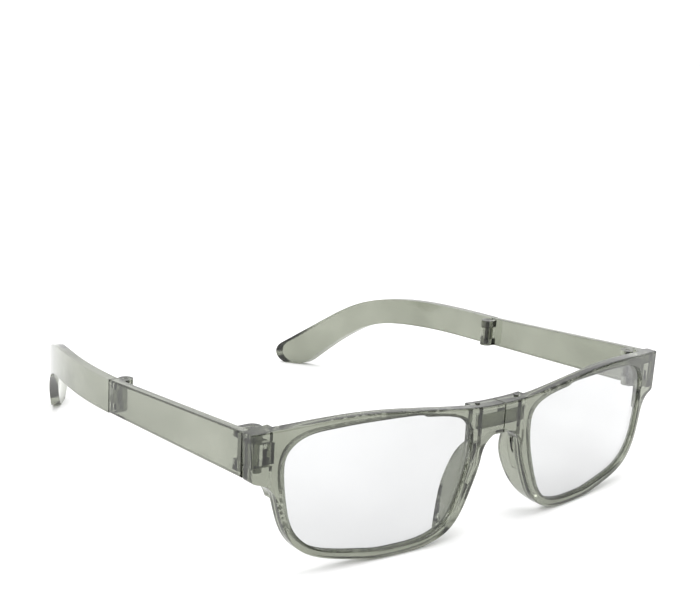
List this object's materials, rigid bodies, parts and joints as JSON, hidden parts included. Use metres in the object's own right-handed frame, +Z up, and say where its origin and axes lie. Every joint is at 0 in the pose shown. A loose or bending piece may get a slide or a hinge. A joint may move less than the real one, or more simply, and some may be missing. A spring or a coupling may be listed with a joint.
{
  "type": "folding reading glasses",
  "caption": "Pocket reading glasses whose bridge, arm hinges and mid-arm hinges all fold, with tinted clear plastic rims and single-vision lenses.",
  "frame": {"origin": "centre of the footprint on the surface the open glasses stand on, below the middle of the arms' length", "axes": "+X from one arm to the other, seen from the front; +Y from the lenses back along the arms; +Z up"},
  "size_m": [0.138, 0.1472, 0.0355],
  "materials": {
    "frame_plastic": "clear grey-green moulded plastic, polished",
    "lens": "clear polished lens",
    "pin_steel": "plain steel wire pin"
  },
  "bodies": {
    "bridge": {"bridge_link": "frame_plastic", "left_bridge_pin": "pin_steel", "right_bridge_pin": "pin_steel"},
    "right_half": {"right_rim": "frame_plastic", "right_lens": "lens", "right_arm_pin": "pin_steel"},
    "right_front_arm": {"right_front_arm": "frame_plastic", "right_mid_pin": "pin_steel"},
    "right_rear_arm": {"right_rear_arm": "frame_plastic"},
    "left_half": {"left_rim": "frame_plastic", "left_lens": "lens", "left_arm_pin": "pin_steel"},
    "left_front_arm": {"left_front_arm": "frame_plastic", "left_mid_pin": "pin_steel"},
    "left_rear_arm": {"left_rear_arm": "frame_plastic"}
  },
  "joints": [
    {"name": "right_bridge_fold", "type": "hinge", "parent": "bridge", "child": "right_half", "pos_m": [0.0067, -0.07057, 0.0285], "axis": [0, 0, 1], "range_deg": [0, 32]},
    {"name": "right_arm_fold", "type": "hinge", "parent": "right_half", "child": "right_front_arm", "pos_m": [0.0642, -0.05927, 0.0284], "axis": [0, 0, 1], "range_deg": [0, 38]},
    {"name": "right_tip_fold", "type": "hinge", "parent": "right_front_arm", "child": "right_rear_arm", "pos_m": [0.0643, -0.00457, 0.0259], "axis": [0, 0, 1], "range_deg": [0, 104]},
    {"name": "left_bridge_fold", "type": "hinge", "parent": "bridge", "child": "left_half", "pos_m": [-0.0067, -0.07057, 0.0285], "axis": [0, 0, 1], "range_deg": [-32, 0]},
    {"name": "left_arm_fold", "type": "hinge", "parent": "left_half", "child": "left_front_arm", "pos_m": [-0.0642, -0.05927, 0.0284], "axis": [0, 0, 1], "range_deg": [-38, 0]},
    {"name": "left_tip_fold", "type": "hinge", "parent": "left_front_arm", "child": "left_rear_arm", "pos_m": [-0.0643, -0.00457, 0.0259], "axis": [0, 0, 1], "range_deg": [-104, 0]}
  ]
}
